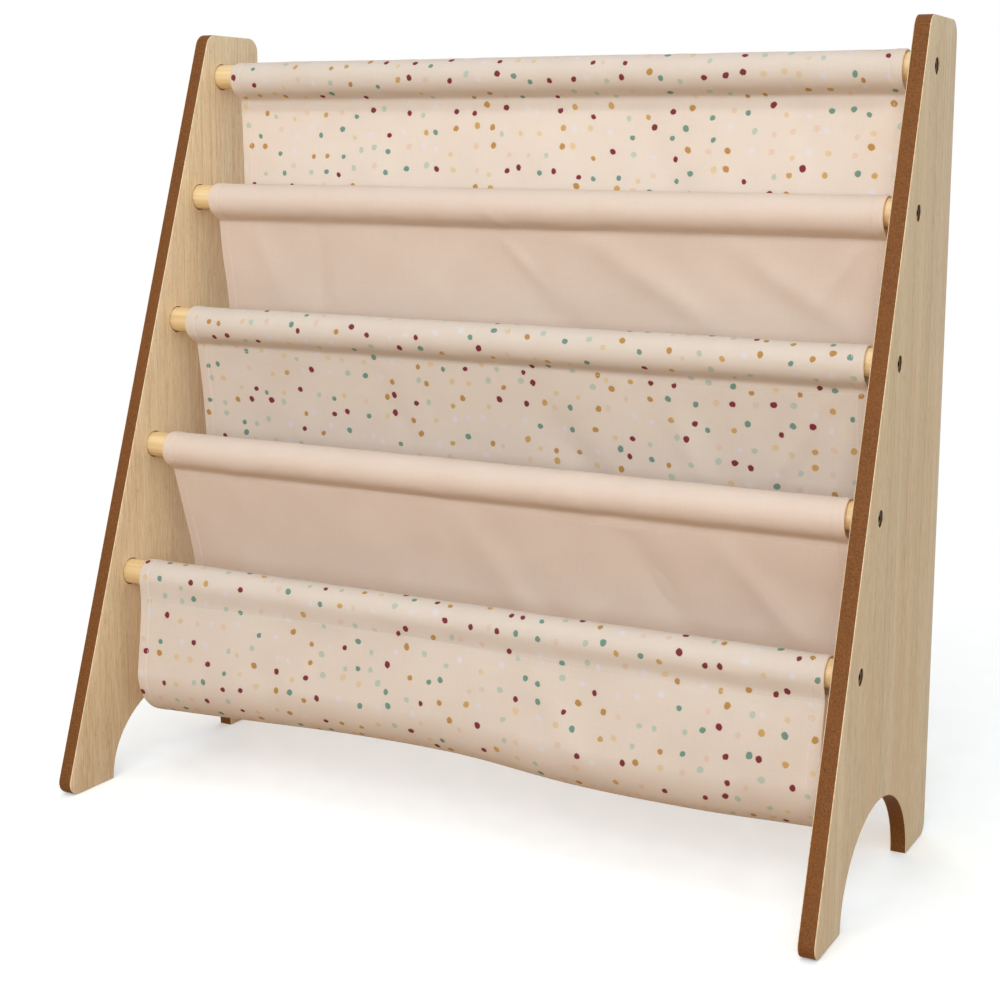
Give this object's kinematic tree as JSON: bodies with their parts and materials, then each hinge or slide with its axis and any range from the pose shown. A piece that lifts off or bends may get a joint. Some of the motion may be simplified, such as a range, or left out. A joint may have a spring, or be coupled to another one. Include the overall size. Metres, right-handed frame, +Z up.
{
  "type": "sling bookshelf",
  "caption": "Child's sling bookshelf: slant-fronted wooden side panels joined by dowels that carry a fabric sling with stepped book pockets.",
  "frame": {"origin": "on the floor, under the middle of the rack", "axes": "+X along the dowels to the right as seen from the front, +Y to the back, +Z up"},
  "size_m": [0.62, 0.26, 0.602],
  "materials": {
    "panel_board": "satin veneer faces, bare sanded edges",
    "dowel_wood": "satin clear lacquer",
    "printed_cloth": "matt woven cloth with small dots",
    "plain_cloth": "matt plain woven cloth",
    "bolt_steel": "dark satin plating",
    "insert_metal": "yellow zinc plating"
  },
  "bodies": {
    "root": {"side_panel_right": "panel_board", "side_panel_left": "panel_board", "dowel_1": "dowel_wood", "bolt_right_1": "bolt_steel", "insert_right_1": "insert_metal", "bolt_left_1": "bolt_steel", "insert_left_1": "insert_metal", "sling_cloth_1": "printed_cloth", "dowel_2": "dowel_wood", "bolt_right_2": "bolt_steel", "insert_right_2": "insert_metal", "bolt_left_2": "bolt_steel", "insert_left_2": "insert_metal", "sling_cloth_2": "plain_cloth", "dowel_3": "dowel_wood", "bolt_right_3": "bolt_steel", "insert_right_3": "insert_metal", "bolt_left_3": "bolt_steel", "insert_left_3": "insert_metal", "sling_cloth_3": "printed_cloth", "dowel_4": "dowel_wood", "bolt_right_4": "bolt_steel", "insert_right_4": "insert_metal", "bolt_left_4": "bolt_steel", "insert_left_4": "insert_metal", "sling_cloth_4": "plain_cloth", "dowel_5": "dowel_wood", "bolt_right_5": "bolt_steel", "insert_right_5": "insert_metal", "bolt_left_5": "bolt_steel", "insert_left_5": "insert_metal", "sling_cloth_5": "printed_cloth"}
  },
  "joints": []
}
